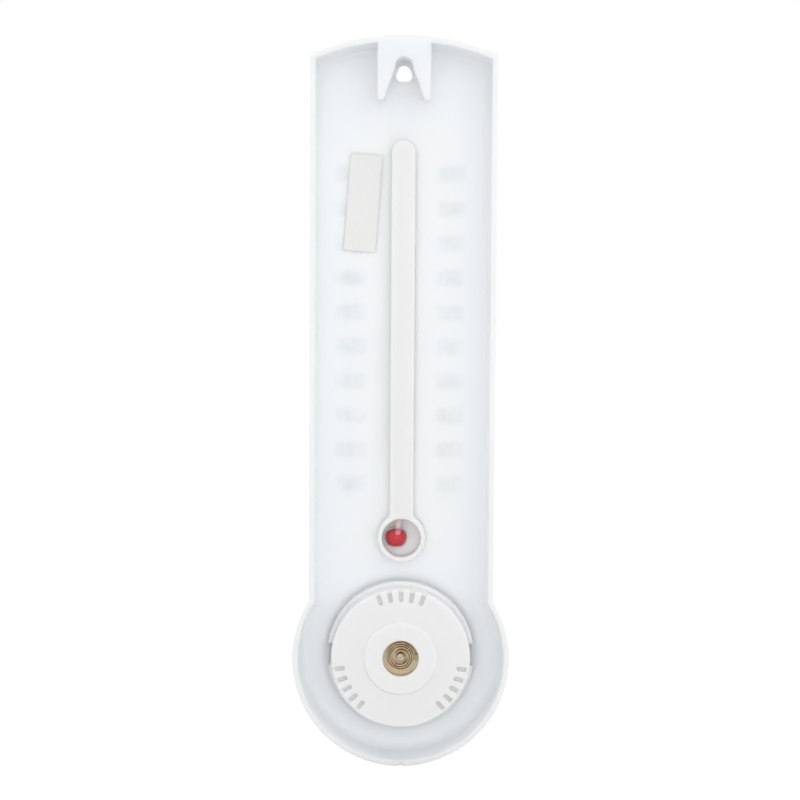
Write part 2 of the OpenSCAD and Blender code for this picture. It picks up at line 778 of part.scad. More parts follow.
// The shallow brass cup that holds the coil's outer end, with a window for a setting tool
module coil_cup() {
    window_mid = neck_r + rivet_lap + 0.1 + cup_window / 2;
    color("darkgoldenrod") difference() {
        spun(dial_z) polygon([[neck_r + running_gap, cup_floor_back], [cup_r, cup_floor_back],
                              [cup_r, cup_rim], [cup_r + cup_wall, cup_rim],
                              [cup_r + cup_wall, cup_floor_front],
                              [neck_r + running_gap, cup_floor_front]]);
        translate([0, 0, dial_z]) rotate([0, cup_window_at, 0])
            slab(cup_floor_back - over, cup_floor_front + over)
            translate([-cup_window / 2, window_mid - cup_window / 2]) square(cup_window);
    }
}

// The clip that holds the coil's end against the cup's wall
module coil_clip() {
    in_r = coil_end_r + coil_t / 2 + 0.02;
    color("darkgoldenrod") translate([0, 0, dial_z])
        rotate([0, -(360 * total_turns + slot_angle - 8), 0])
        slab(coil_back + 0.9, cup_floor_back) intersection() {
            difference() {
                circle(r = cup_r);
                circle(r = in_r);
            }
            translate([0, -0.7]) square([cup_r + over, 1.4]);
        }
}

module humidity_coil() {
    color("peru") translate([0, 0, dial_z]) rotate([0, -slot_angle, 0])
        slab(coil_back, coil_front) polygon(strip_outline(coil_path, coil_t));
}

module arbor() {
    color("gold") difference() {
        spun(dial_z) polygon([[0, head_back], [arbor_r - 0.15, head_back],
                              [arbor_r, head_back + 0.15], [arbor_r, head_front],
                              [journal_r, head_front], [journal_r, hub_back + hub_len - hub_rim],
                              [0, hub_back + hub_len - hub_rim]]);
        translate([0, 0, dial_z]) rotate([0, -slot_angle, 0])
            slab(head_back - over, coil_front + seat_gap / 2)
            translate([-arbor_r - over, -arbor_slot_w / 2])
            square([2 * arbor_r + 2 * over, arbor_slot_w]);
    }
}

// A tapering needle with a round balance weight on its tail
module pointer() {
    front = pointer_back + pointer_t;
    color("black") difference() {
        union() {
            translate([0, 0, dial_z]) slab(pointer_back, front)
                polygon([[-0.55, 0], [-0.12, pointer_len - 0.3], [0, pointer_len],
                         [0.12, pointer_len - 0.3], [0.55, 0], [0.4, -pointer_tail],
                         [-0.4, -pointer_tail]]);
            drum(dial_z - pointer_tail, weight_d / 2, pointer_back, front);
            drum(dial_z, hub_d / 2 + 0.2, pointer_back, front);
        }
        drum(dial_z, hub_d / 2 - 0.4, pointer_back - over, front + over);
    }
}

module pointer_hub() {
    r = hub_d / 2;
    color("black") difference() {
        spun(dial_z) polygon([[0, hub_back], [r, hub_back], [r, pointer_back],
                              [r - 0.4, pointer_back], [r - 0.4, pointer_back + pointer_t],
                              [r, pointer_back + pointer_t], [r, hub_back + hub_len - hub_rim],
                              [r - hub_rim, hub_back + hub_len], [0, hub_back + hub_len]]);
        drum(dial_z, journal_r, hub_back - over, hub_back + hub_len - hub_rim);
    }
}

module sticker() {
    color("ivory") translate([sticker_x, 0, -sticker_drop]) rotate([0, -sticker_lean, 0])
        slab(floor_d - sticker_t, floor_d)
        translate([-sticker_w / 2, -sticker_h / 2]) square([sticker_w, sticker_h]);
}

case();
tube_cover();
glass_tube();
bulb_spirit();
spirit_thread();
spirit_top();
module_housing();
dust_ring();
bezel_ring();
dial_window();
dial_spacer();
dial_plate();
bearing_bush();
friction_washer();
coil_cup();
coil_clip();
humidity_coil();
arbor();
pointer();
pointer_hub();
sticker();
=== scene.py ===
"""Dresses the wall thermometer with its dial hygrometer: materials for every moulded, turned and
printed piece, the wound humidity strip, the print in front, the light, and the camera behind it."""

import math

import bpy
import numpy as np
from mathutils import Matrix, Vector


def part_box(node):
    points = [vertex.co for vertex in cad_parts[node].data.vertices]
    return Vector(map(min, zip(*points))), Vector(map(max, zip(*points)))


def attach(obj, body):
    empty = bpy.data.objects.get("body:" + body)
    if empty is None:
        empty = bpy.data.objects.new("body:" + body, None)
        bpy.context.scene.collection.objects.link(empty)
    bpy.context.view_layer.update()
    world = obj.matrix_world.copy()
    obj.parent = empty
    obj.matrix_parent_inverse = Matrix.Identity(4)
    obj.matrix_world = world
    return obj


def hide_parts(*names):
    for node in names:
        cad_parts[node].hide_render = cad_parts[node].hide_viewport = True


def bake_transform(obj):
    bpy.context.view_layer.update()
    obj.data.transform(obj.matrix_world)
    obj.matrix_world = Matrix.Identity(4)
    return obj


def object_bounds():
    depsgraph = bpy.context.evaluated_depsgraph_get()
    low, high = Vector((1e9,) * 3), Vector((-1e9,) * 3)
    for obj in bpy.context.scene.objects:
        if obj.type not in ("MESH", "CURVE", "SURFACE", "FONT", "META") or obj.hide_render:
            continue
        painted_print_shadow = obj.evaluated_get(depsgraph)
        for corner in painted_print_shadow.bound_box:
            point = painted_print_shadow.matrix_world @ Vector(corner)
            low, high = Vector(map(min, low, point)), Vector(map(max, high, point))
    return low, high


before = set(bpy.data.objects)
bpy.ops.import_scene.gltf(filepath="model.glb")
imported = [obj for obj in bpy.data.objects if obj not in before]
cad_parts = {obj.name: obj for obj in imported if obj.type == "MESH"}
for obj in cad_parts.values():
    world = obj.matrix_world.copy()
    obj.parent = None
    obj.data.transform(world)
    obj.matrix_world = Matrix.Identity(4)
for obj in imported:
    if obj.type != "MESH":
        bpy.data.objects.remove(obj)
CAD_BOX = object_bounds()
MM = 0.001


# Sizes that the CAD gives, read from its nodes' boxes, in metres

def middle(low, high, axis):
    return (low[axis] + high[axis]) / 2


COIL_LOW, COIL_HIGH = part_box("humidity_coil")
PLATE_LOW, PLATE_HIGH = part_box("dial_plate")
TUBE_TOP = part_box("glass_tube")[1][2]
SPIRIT_LOW, SPIRIT_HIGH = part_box("spirit_top")
THREAD_LOW, THREAD_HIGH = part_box("spirit_thread")
BULB_LOW, BULB_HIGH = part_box("bulb_spirit")
DIAL_Z = middle(PLATE_LOW, PLATE_HIGH, 2)
DIAL_FACE = PLATE_LOW[1]
PLATE_THICK = 1.6 * MM                      # the case's front plate
FLOOR_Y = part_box("sticker")[0][1]           # its inner face, where the label lies
FRONT_Y = FLOOR_Y - PLATE_THICK
TUBE_X = middle(SPIRIT_LOW, SPIRIT_HIGH, 0)
TUBE_Y = middle(SPIRIT_LOW, SPIRIT_HIGH, 1)
BORE_R = (SPIRIT_HIGH[0] - SPIRIT_LOW[0]) / 2
BULB_X = middle(BULB_LOW, BULB_HIGH, 0)
BULB_R = (BULB_HIGH[0] - BULB_LOW[0]) / 2
BULB_Z = BULB_LOW[2] + 2.45 * MM            # the bulb's centre, above its flat foot

# The scale in front: degrees Celsius from 50 down to -30
SCALE_TOP_Z = -28.4 * MM
DEGREE = 0.96 * MM
DECADE = 10 * DEGREE
CELSIUS_X = -13.4 * MM
FAHRENHEIT_X = 14.4 * MM
SCALE_BOTTOM_Z = SCALE_TOP_Z - 80 * DEGREE


# Colours and materials

def linear(code, alpha=1.0):
    """An sRGB hex colour as linear RGBA: each channel c is c/12.92 below 0.04045, else ((c + 0.055) / 1.055) ^ 2.4."""
    parts = [int(code[i:i + 2], 16) / 255 for i in (0, 2, 4)]
    return [c / 12.92 if c <= 0.04045 else ((c + 0.055) / 1.055) ** 2.4 for c in parts] + [alpha]


def add(tree, kind, links=None, **settings):
    """Adds a node. settings are its properties; links gives each input a value, or a socket to join to it."""
    made = tree.nodes.new(kind)
    for name, value in settings.items():
        setattr(made, name, value)
    for name, value in (links or {}).items():
        if isinstance(value, bpy.types.NodeSocket):
            tree.links.new(value, made.inputs[name])
        else:
            made.inputs[name].default_value = value
    return made


def finish(name, **values):
    """A material with one Principled shader, its constant values set on its own sockets."""
    made = bpy.data.materials.new(name)
    made.use_nodes = True
    tree = made.node_tree
    shader = tree.nodes["Principled BSDF"]
    for socket, value in values.items():
        shader.inputs[socket.replace("_", " ")].default_value = value
    place = add(tree, "ShaderNodeTexCoord").outputs["Object"]
    return made, tree, shader, place


def patches(tree, place, size_mm, detail=3.0, roughness=0.5):
    """Cloudy noise whose patches are about size_mm across."""
    return add(tree, "ShaderNodeTexNoise", {"Vector": place, "Scale": 1 / (size_mm * MM), "Detail": detail,
                                            "Roughness": roughness}).outputs["Fac"]


def tones(tree, factor, *stops):
    """A colour ramp through (position, hex) stops."""
    ramp = add(tree, "ShaderNodeValToRGB", {"Fac": factor})
    elements = ramp.color_ramp.elements
    while len(elements) < len(stops):
        elements.new(0.5)
    for element, (at, code) in zip(elements, stops):
        element.position = at
        element.color = linear(code)
    return ramp.outputs["Color"]


def spread(tree, factor, low, high, lo_in=0.3, hi_in=0.7, smooth=False):
    """Maps a factor from lo_in..hi_in to low..high."""
    return add(tree, "ShaderNodeMapRange", {"Value": factor, "From Min": lo_in, "From Max": hi_in,
                                            "To Min": low, "To Max": high}, clamp=True,
               interpolation_type="SMOOTHSTEP" if smooth else "LINEAR").outputs["Result"]


def sums(tree, operation, *values):
    """A Math node on sockets or numbers."""
    return add(tree, "ShaderNodeMath", dict(enumerate(values)), operation=operation).outputs[0]


def relief(tree, height, depth_mm, strength=1.0, normal=None):
    """A bump whose full height is depth_mm."""
    links = {"Height": height, "Distance": depth_mm * MM, "Strength": strength}
    if normal is not None:
        links["Normal"] = normal
    return add(tree, "ShaderNodeBump", links).outputs["Normal"]


def soft_edges(tree, radius_mm):
    """The small rounding that a mould leaves on every edge."""
    return add(tree, "ShaderNodeBevel", {"Radius": radius_mm * MM}, samples=4).outputs["Normal"]


def seen_directly(tree):
    """1 for rays from the camera and for those that gloss or glass sends on, else 0."""
    rays = add(tree, "ShaderNodeLightPath").outputs
    return sums(tree, "MAXIMUM", rays["Is Camera Ray"],
                sums(tree, "MAXIMUM", rays["Is Glossy Ray"], rays["Is Transmission Ray"]))


def window_of(tree, value, centre, half, blur):
    """1 where value is within half of centre, falling to 0 over blur."""
    away = sums(tree, "ABSOLUTE", sums(tree, "SUBTRACT", value, centre))
    return spread(tree, away, 1.0, 0.0, half, half + blur, smooth=True)


def moulded(name, low, high, rough, deep=1.0, grain_depth=0.006):
    """Injection-moulded plastic: a nearly even white with faint flow clouds about 30 mm across, a satin gloss that
    varies a little, and the fine spark-eroded grain of the mould. The real grain is about 0.1 mm, too fine for the
    picture, so it is drawn 0.6 mm wide. Light spreads under the skin over about deep mm."""
    made, tree, shader, place = finish(name, IOR=1.53, Subsurface_Weight=1.0, Subsurface_Scale=deep * MM,
                                       Subsurface_Radius=(1.0, 1.0, 1.0))
    clouds = patches(tree, place, 30)
    colour = tones(tree, clouds, (0.3, low), (0.7, high))
    gloss = patches(tree, place, 9)
    tree.links.new(spread(tree, gloss, rough - 0.05, rough + 0.05), shader.inputs["Roughness"])
    grain = patches(tree, place, 0.6, detail=2.0)
    tree.links.new(relief(tree, grain, grain_depth, 0.5, soft_edges(tree, 0.3)), shader.inputs["Normal"])
    tree.links.new(colour, shader.inputs["Base Color"])
    return made, tree, shader, place, colour


def print_behind_plate(tree, place):
    """How strongly the print on the front darkens the thin plate from behind, painted as shade: soft patches of painted
    shadow where the numerals stand, only on the plate's inner face. Rows are one decade apart; columns are those of the
    two scales."""
    at = add(tree, "ShaderNodeSeparateXYZ", {"Vector": place}).outputs
    rows = sums(tree, "DIVIDE", sums(tree, "SUBTRACT", SCALE_TOP_Z, at["Z"]), DECADE)
    to_row = sums(tree, "MULTIPLY", sums(tree, "ABSOLUTE", sums(tree, "SUBTRACT", sums(
        tree, "FRACT", sums(tree, "ADD", rows, 0.5)), 0.5)), DECADE)
    row = spread(tree, to_row, 1.0, 0.0, 1.2 * MM, 3.0 * MM, smooth=True)
    stretch = window_of(tree, rows, 4.5, 4.9, 0.2)
    left = window_of(tree, at["X"], CELSIUS_X, 2.6 * MM, 2.0 * MM)
    right = window_of(tree, at["X"], FAHRENHEIT_X, 3.2 * MM, 2.2 * MM)
    inner_face = window_of(tree, at["Y"], FLOOR_Y, 0.02 * MM, 0.02 * MM)
    digits = spread(tree, patches(tree, place, 2.6, detail=1.0), 0.35, 1.0, 0.35, 0.6)
    columns = sums(tree, "MAXIMUM", left, right)
    for factor in (stretch, row, inner_face, digits):
        columns = sums(tree, "MULTIPLY", columns, factor)
    return columns


def case_plastic():
    """Impact-resistant polystyrene, moulded in a white that leans to blue. On the inner face of the thin front plate,
    the print's shadow through the plate is painted in as faint bluish patches of shade."""
    made, tree, shader, place, colour = moulded("white_polystyrene", "EFF2F4", "F1F4F6", 0.36, deep=3.2)
    painted_print_shadow = sums(tree, "MULTIPLY", print_behind_plate(tree, place), 0.42)
    # painted shade: the print's shadow through the plate, mixed into the colour as a pale blue-grey
    mixed = add(tree, "ShaderNodeMix", {"Factor": painted_print_shadow, "A": colour, "B": linear("DDE6EA")},
                data_type="RGBA")
    tree.links.new(mixed.outputs["Result"], shader.inputs["Base Color"])
    return made


def metal(name, low, high, rough):
    """Sheet or turned metal: its own tint with duller and brighter clouds about 0.8 mm across, and fine marks from
    rolling or turning, drawn 0.12 mm apart."""
    made, tree, shader, place = finish(name, Metallic=1.0)
    tree.links.new(tones(tree, patches(tree, place, 0.8), (0.3, low), (0.7, high)),
                   shader.inputs["Base Color"])
    marks = patches(tree, place, 0.12, detail=1.0)
    tree.links.new(spread(tree, marks, rough - 0.08, rough + 0.1), shader.inputs["Roughness"])
    tree.links.new(relief(tree, marks, 0.004, 0.4), shader.inputs["Normal"])
    return made


def paint(name, low, high, rough):
    """Sprayed or screen-printed paint: an even coat with slightly thicker and thinner patches, about 3 mm across."""
    made, tree, shader, place = finish(name, IOR=1.5)
    clouds = patches(tree, place, 3.0)
    tree.links.new(tones(tree, clouds, (0.3, low), (0.7, high)), shader.inputs["Base Color"])
    tree.links.new(spread(tree, clouds, rough - 0.04, rough + 0.04), shader.inputs["Roughness"])
    tree.links.new(relief(tree, patches(tree, place, 0.4), 0.003, 0.5), shader.inputs["Normal"])
    return made


def label_paper():
    """Uncoated label paper: a cream white with fine fibres about 0.5 mm long, quite matt."""
    made, tree, shader, place = finish("label_paper", IOR=1.5)
    fibres = patches(tree, place, 0.5, detail=4.0, roughness=0.7)
    tree.links.new(tones(tree, fibres, (0.3, "F0F0EE"), (0.7, "F5F5F3")), shader.inputs["Base Color"])
    tree.links.new(spread(tree, fibres, 0.75, 0.88), shader.inputs["Roughness"])
    tree.links.new(relief(tree, fibres, 0.01, 0.4), shader.inputs["Normal"])
    return made


def needled_felt():
    """White needled felt behind the vents, coloured a little grey as painted shade of the vents' hollows: matt, with
    fibres that are drawn about 0.4 mm across, coarser than the real 0.03 mm, which wouldn't show."""
    made, tree, shader, place = finish("needled_felt", Roughness=0.95, Sheen_Weight=0.2)
    fibres = patches(tree, place, 0.4, detail=4.0, roughness=0.7)
    # the grey of these tones is painted shade of the vents' hollows
    tree.links.new(tones(tree, fibres, (0.3, "E7E7E6"), (0.7, "EEEEED")), shader.inputs["Base Color"])
    tree.links.new(relief(tree, fibres, 0.06, 0.5), shader.inputs["Normal"])
    return made


def drawn_glass(name, rough=0.02):
    """Clear glass or window plastic, thin enough to let most light straight through. Its index is set low, so that
    what lies inside stays in its place, and a clear coat gives it the gloss of the real index of about 1.5; faint
    draw lines run along it."""
    made, tree, shader, place = finish(name, IOR=1.06, Transmission_Weight=1.0, Coat_Weight=1.0,
                                       Coat_IOR=1.5, Coat_Roughness=0.02, Alpha=0.3)
    lines = patches(tree, place, 1.5)
    tree.links.new(tones(tree, lines, (0.3, "F4FAF8"), (0.7, "FDFFFE")), shader.inputs["Base Color"])
    tree.links.new(spread(tree, lines, rough, rough + 0.02), shader.inputs["Roughness"])
    return made


def dyed_spirit():
    """Spirit dyed red: deep and clear, a little darker where it is thick. Towards its outline as seen it turns pinker:
    partly the thinner spirit there, partly a painted sheen of the glass wall round it.
    """
    made, tree, shader, place = finish("dyed_spirit", IOR=1.36, Transmission_Weight=0.1, Roughness=0.3,
                                       Specular_IOR_Level=0.2)
    clouds = patches(tree, place, 2.5, detail=1.0)
    # the pinker tone towards the outline is partly the thinner spirit, partly painted sheen of the glass wall
    edge = add(tree, "ShaderNodeLayerWeight", {"Blend": 0.35}).outputs["Facing"]
    deep = tones(tree, edge, (0.0, "CE2C36"), (0.9, "BE3A48"))
    pale = add(tree, "ShaderNodeMix", {"Factor": spread(tree, clouds, 0.0, 0.25), "A": deep,
                                       "B": linear("DB464C")}, data_type="RGBA")
    tree.links.new(pale.outputs["Result"], shader.inputs["Base Color"])
    return made


def backing_enamel():
    """Opal enamel fused into the glass behind the bore: the red thread tints it pink, and where it ends in the bulb
    the spirit dyes it, over the last 3 mm."""
    made, tree, shader, place = finish("backing_enamel", IOR=1.5, Roughness=0.3)
    clouds = tones(tree, patches(tree, place, 2.0), (0.3, "E0CBC8"), (0.7, "E8D6D2"))
    height = add(tree, "ShaderNodeSeparateXYZ", {"Vector": place}).outputs["Z"]
    wet = spread(tree, height, 1.0, 0.0, BULB_Z + 2.0 * MM, BULB_Z + 2.9 * MM, smooth=True)
    dyed = add(tree, "ShaderNodeMix", {"Factor": wet, "A": clouds, "B": linear("D9808A")}, data_type="RGBA")
    tree.links.new(dyed.outputs["Result"], shader.inputs["Base Color"])
    return made


def printed_board():
    """Dial plate: white enamel in front, and on its back the plain brown phenolic sheet that it is cut from."""
    made, tree, shader, place = finish("printed_board", IOR=1.5, Roughness=0.45)
    front = tones(tree, patches(tree, place, 3.0), (0.3, "F2F2F0"), (0.7, "F6F6F4"))
    back = tones(tree, patches(tree, place, 0.8), (0.3, "A58A64"), (0.7, "B69B74"))
    depth = add(tree, "ShaderNodeSeparateXYZ", {"Vector": place}).outputs["Y"]
    behind = spread(tree, depth, 0.0, 1.0, DIAL_FACE + 0.25 * MM, DIAL_FACE + 0.3 * MM)
    mixed = add(tree, "ShaderNodeMix", {"Factor": behind, "A": front, "B": back}, data_type="RGBA")
    tree.links.new(mixed.outputs["Result"], shader.inputs["Base Color"])
    return made


def coil_finish():
    """Rolled strip with a coat that takes up moisture, wound flat: a matt coppery beige, its colour running darker and
    paler along its length, which the strip's own attribute gives in metres."""
    made, tree, shader, place = finish("coated_strip", Metallic=0.2)
    along = add(tree, "ShaderNodeAttribute", attribute_name="along").outputs["Fac"]
    stains = add(tree, "ShaderNodeTexNoise", {"W": along, "Scale": 1 / (2.4 * MM), "Detail": 3.0},
                 noise_dimensions="1D").outputs["Fac"]
    tree.links.new(tones(tree, stains, (0.25, "C4A67C"), (0.5, "E0C79E"), (0.75, "EFE2C4")),
                   shader.inputs["Base Color"])
    tree.links.new(spread(tree, patches(tree, place, 0.5), 0.42, 0.58), shader.inputs["Roughness"])
    tree.links.new(relief(tree, patches(tree, place, 0.15), 0.004, 0.4), shader.inputs["Normal"])
    return made


def wear(node, material):
    """Gives a CAD node this material in all its slots."""
    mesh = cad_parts[node].data
    if not mesh.materials:
        mesh.materials.append(material)
    for i in range(len(mesh.materials)):
        mesh.materials[i] = material


# Pieces made here

def piece(name, points, faces, material, body, sharp=None):
    """A mesh piece with its place in its mesh, riding on a body, or on none if no body is given."""
    mesh = bpy.data.meshes.new(name)
    mesh.from_pydata(np.asarray(points, float).tolist(), [], [list(map(int, f)) for f in faces])
    mesh.update()
    if sharp is not None:
        mesh.shade_smooth()
        mesh.set_sharp_from_angle(angle=math.radians(sharp))
    mesh.materials.append(material)
    made = bpy.data.objects.new(name, mesh)
    bpy.context.scene.collection.objects.link(made)
    if body:
        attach(made, body)
    return made


def tube_faces(rings, sides):
    """Quads between neighbouring rings of a closed section, with a face over each end."""
    i, j = np.meshgrid(np.arange(rings - 1), np.arange(sides), indexing="ij")
    k = (j + 1) % sides
    quads = np.stack([i * sides + j, i * sides + k, (i + 1) * sides + k, (i + 1) * sides + j], -1)
    last = (rings - 1) * sides
    return quads.reshape(-1, 4).tolist() + [list(range(sides))[::-1], list(range(last, last + sides))]


def humidity_strip(material):
    """The wound strip. Its path runs through the arbor's slot, then out on a spiral: radius grows by 1.05 mm over the
    first 0.6 turn and by 0.6 mm a turn after that. A rounded rectangle is carried along the path."""
    arbor_r, wide, thick = 1.1, (COIL_HIGH[1] - COIL_LOW[1]) / MM, 0.26
    lead, turns, pitch = 0.6, 3.0, 0.6
    start_r, inner_r = arbor_r + 0.1, arbor_r + 1.15
    t = np.linspace(0, lead + turns, 520)
    r = np.where(t < lead, start_r + (inner_r - start_r) * t / lead, inner_r + (t - lead) * pitch)
    spiral = np.stack([r * np.cos(2 * np.pi * t), r * np.sin(2 * np.pi * t)], -1)
    inside = np.stack([np.linspace(-arbor_r + 0.1, arbor_r - 0.2, 12), np.zeros(12)], -1)
    path = np.concatenate([inside, spiral])
    step = np.gradient(path, axis=0)
    normal = np.stack([-step[:, 1], step[:, 0]], -1) / np.linalg.norm(step, axis=1)[:, None]
    edge = np.array([0.0, 0.35, 0.7, 1.0])
    half_t, half_w = thick / 2, wide / 2
    corner = np.stack([half_t * np.cos(edge * np.pi / 2), half_w - half_t + half_t * np.sin(edge * np.pi / 2)], -1)
    section = np.concatenate([corner, corner[::-1] * [-1, 1], -corner, corner[::-1] * [1, -1]])
    section = section[np.r_[True, np.linalg.norm(np.diff(section, axis=0), axis=1) > 1e-6]]
    flat = path[:, None, :] + normal[:, None, :] * section[None, :, 0, None]
    turn = math.radians(-25)
    x = flat[..., 0] * math.cos(turn) - flat[..., 1] * math.sin(turn)
    z = flat[..., 0] * math.sin(turn) + flat[..., 1] * math.cos(turn)
    y = np.broadcast_to(section[None, :, 1], x.shape) + middle(COIL_LOW, COIL_HIGH, 1) / MM
    points = np.stack([x * MM, y * MM, z * MM + DIAL_Z], -1)
    made = piece("wound_strip", points.reshape(-1, 3), tube_faces(*x.shape), material, None,
                 sharp=40)
    along = np.concatenate([[0], np.cumsum(np.linalg.norm(np.diff(path, axis=0), axis=1))]) * MM
    values = np.repeat(along, x.shape[1]).astype(np.float32)
    made.data.attributes.new("along", "FLOAT", "POINT").data.foreach_set("value", values)
    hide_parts("humidity_coil")
    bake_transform(made)
    return made


def tube_backing(material):
    """The enamel stripe in the glass: part of a cylinder round the bore, 1 mm in radius, on its rear side, carried
    straight along the tube. Inside the bulb its rounded end shows through the spirit: there the stripe leans out to
    the bulb's rear wall, so the distance from the axis grows from 1 to 2.85 mm while the stripe narrows."""
    low, neck = BULB_Z + 0.95 * MM, BULB_Z + 2.3 * MM
    z = np.concatenate([np.linspace(low, neck, 9), np.linspace(neck + 0.4 * MM, TUBE_TOP - 2.2 * MM, 30)])
    inside = np.clip((neck - z) / (neck - low), 0, 1)
    out = np.where(z < neck, np.sqrt((2.97 * MM) ** 2 - (z - BULB_Z) ** 2), 1.0 * MM)
    half = np.where(z < neck, 0.74 * MM * np.sqrt(np.clip(1 - inside ** 3, 0.02, 1)), 0.72 * MM)
    across = np.linspace(-1, 1, 13)
    x = half[:, None] * across
    drop = np.where(z < neck, 0.0, 1.0)[:, None] * (1.0 * MM - np.sqrt((1.0 * MM) ** 2 - x ** 2))
    y = out[:, None] - drop
    rear = np.stack([TUBE_X + x, TUBE_Y + y, np.broadcast_to(z[:, None], x.shape)], -1)
    front = rear[:, ::-1] - [0, 0.08 * MM, 0]
    points = np.concatenate([rear, front], axis=1)[:, ::-1]
    return piece("tube_backing", points.reshape(-1, 3), tube_faces(len(z), 26), material, "case",
                 sharp=40)


def turned_body(name, x, profile, material, body, sides=64):
    """A closed body of revolution about an upright axis in the tube's plane. The profile is (radius, height) from its
    foot to its top, both on the axis: at height z each point stands at radius r, all round in even steps."""
    profile = np.asarray(profile, float)
    ring = profile[1:-1]
    a = np.arange(sides) * 2 * np.pi / sides
    points = np.stack([x + ring[:, 0, None] * np.cos(a), TUBE_Y + ring[:, 0, None] * np.sin(a),
                       np.broadcast_to(ring[:, 1, None], (len(ring), sides))], -1).reshape(-1, 3)
    return piece(name, points, tube_faces(len(ring), sides), material, body, sharp=60)


def bulb_filling(material):
    """The spirit in the bulb: a ball with a flat foot below, and above it a superellipse, (r/R)^2.5 + (z/h)^2.5 = 1,
    whose flat shoulder lies where the blown glass thickens to the tube."""
    foot, height, power = -2.4 * MM, 2.25 * MM, 2.5
    below = np.linspace(foot, 0, 16)
    above = height * np.sin(np.linspace(0, np.pi / 2, 20))[1:-1]
    radius = np.concatenate([np.sqrt(BULB_R ** 2 - below ** 2),
                             BULB_R * (1 - (above / height) ** power) ** (1 / power)])
    z = BULB_Z + np.concatenate([below, above])
    profile = [(0, z[0])] + list(zip(radius, z)) + [(0, z[-1])]
    made = turned_body("bulb_filling", BULB_X, profile, material, "case")
    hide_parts("bulb_spirit")
    return made


def spirit_thread(material):
    """The thread under the sliding top: a straight round column in 60 equal steps."""
    low = BULB_Z + 2.2 * MM
    z = np.linspace(low, THREAD_HIGH[2], 61)
    profile = [(0, low)] + [(BORE_R, h) for h in z] + [(0, z[-1])]
    made = turned_body("stretching_thread", TUBE_X, profile, material, None, sides=20)
    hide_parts("spirit_thread")
    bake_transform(made)
    at = np.empty(len(made.data.vertices) * 3)
    made.data.vertices.foreach_get("co", at)
    return made


def bars(marks, face_y, thick=0.02 * MM):
    """Thin printed bars on a face that looks to -Y. Each mark is (centre x, centre z, length, width, angle): the length
    runs at that angle from +X. Every bar is a closed box."""
    m = np.asarray(marks, float)
    c, s = np.cos(m[:, 4]), np.sin(m[:, 4])
    corners = np.array([[-1, -1], [1, -1], [1, 1], [-1, 1]]) / 2
    u = corners[None, :, 0] * m[:, 2, None]
    v = corners[None, :, 1] * m[:, 3, None]
    x = m[:, 0, None] + u * c[:, None] - v * s[:, None]
    z = m[:, 1, None] + u * s[:, None] + v * c[:, None]
    layers = [np.stack([x, np.full_like(x, y), z], -1) for y in (face_y, face_y - thick)]
    points = np.concatenate(layers, axis=1).reshape(-1, 3)
    box = np.array([[3, 2, 1, 0], [4, 5, 6, 7], [0, 1, 5, 4], [1, 2, 6, 5], [2, 3, 7, 6], [3, 0, 4, 7]])
    faces = (box[None] + 8 * np.arange(len(m))[:, None, None]).reshape(-1, 4)
    return points, faces


def figures(words, face_y, thick=0.02 * MM):
    """Figures in the plain built-in letter on a face that looks to -Y. Each word is (text, centre x, centre z, height,
    angle). The letters are flat curves with a little thickness, made a mesh and then put in place."""
    points, faces, count = [], [], 0
    for text, x, z, height, angle in words:
        curve = bpy.data.curves.new("figure", "FONT")
        curve.body = text
        curve.align_x, curve.align_y = "CENTER", "CENTER"
        curve.size = height * 1.38
        curve.resolution_u = 3
        curve.extrude = thick / 2
        holder = bpy.data.objects.new("figure", curve)
        mesh = bpy.data.meshes.new_from_object(holder)
        at = np.empty(len(mesh.vertices) * 3)
        mesh.vertices.foreach_get("co", at)
        at = at.reshape(-1, 3)
        span = (at.min(0) + at.max(0)) / 2
        at = at - [span[0], span[1], 0]
        c, s = math.cos(angle), math.sin(angle)
        points.append(np.stack([x + at[:, 0] * c - at[:, 1] * s, face_y - thick / 2 - at[:, 2],
                                z + at[:, 0] * s + at[:, 1] * c], -1))
        faces += [[v + count for v in p.vertices] for p in mesh.polygons]
        count += len(at)
        bpy.data.objects.remove(holder)
        bpy.data.curves.remove(curve)
        bpy.data.meshes.remove(mesh)
    return np.concatenate(points), faces


def joined(*parts):
    """Several (points, faces) as one."""
    points, faces, count = [], [], 0
    for at, polygons in parts:
        points.append(at)
        faces += [[int(v) + count for v in p] for p in polygons]
        count += len(at)
    return np.concatenate(points), faces


def thermometer_print(material):
    """The scale beside the slot: a bar for each degree Celsius and each two degrees Fahrenheit, with the figures of
    every tenth degree Celsius and the same heights in Fahrenheit."""
    marks, words = [], []
    for celsius in range(-30, 51):
        z = SCALE_BOTTOM_Z + (celsius + 30) * DEGREE
        long = 4.4 if celsius % 10 == 0 else 3.3 if celsius % 5 == 0 else 2.3
        marks.append((TUBE_X - (3.0 + long / 2) * MM, z, long * MM, 0.22 * MM, 0))
    for fahrenheit in range(-22, 123, 2):
        z = SCALE_BOTTOM_Z + ((fahrenheit - 32) / 1.8 + 30) * DEGREE
        long = 4.4 if (fahrenheit + 22) % 18 == 0 else 3.3 if fahrenheit % 10 == 0 else 2.3
        marks.append((TUBE_X + (3.0 + long / 2) * MM, z, long * MM, 0.22 * MM, 0))
    for celsius in range(-30, 51, 10):
        z = SCALE_BOTTOM_Z + (celsius + 30) * DEGREE
        words.append((str(celsius), CELSIUS_X, z, 3.9 * MM, 0))
        words.append((str(round(celsius * 1.8 + 32)), FAHRENHEIT_X, z, 3.9 * MM, 0))
    words.append(("°C", CELSIUS_X, SCALE_BOTTOM_Z - 11 * MM, 4.4 * MM, 0))
    words.append(("°F", FAHRENHEIT_X, SCALE_BOTTOM_Z - 11 * MM, 4.4 * MM, 0))
    points, faces = joined(bars(marks, FRONT_Y), figures(words, FRONT_Y))
    return piece("thermometer_print", points, faces, material, "case")


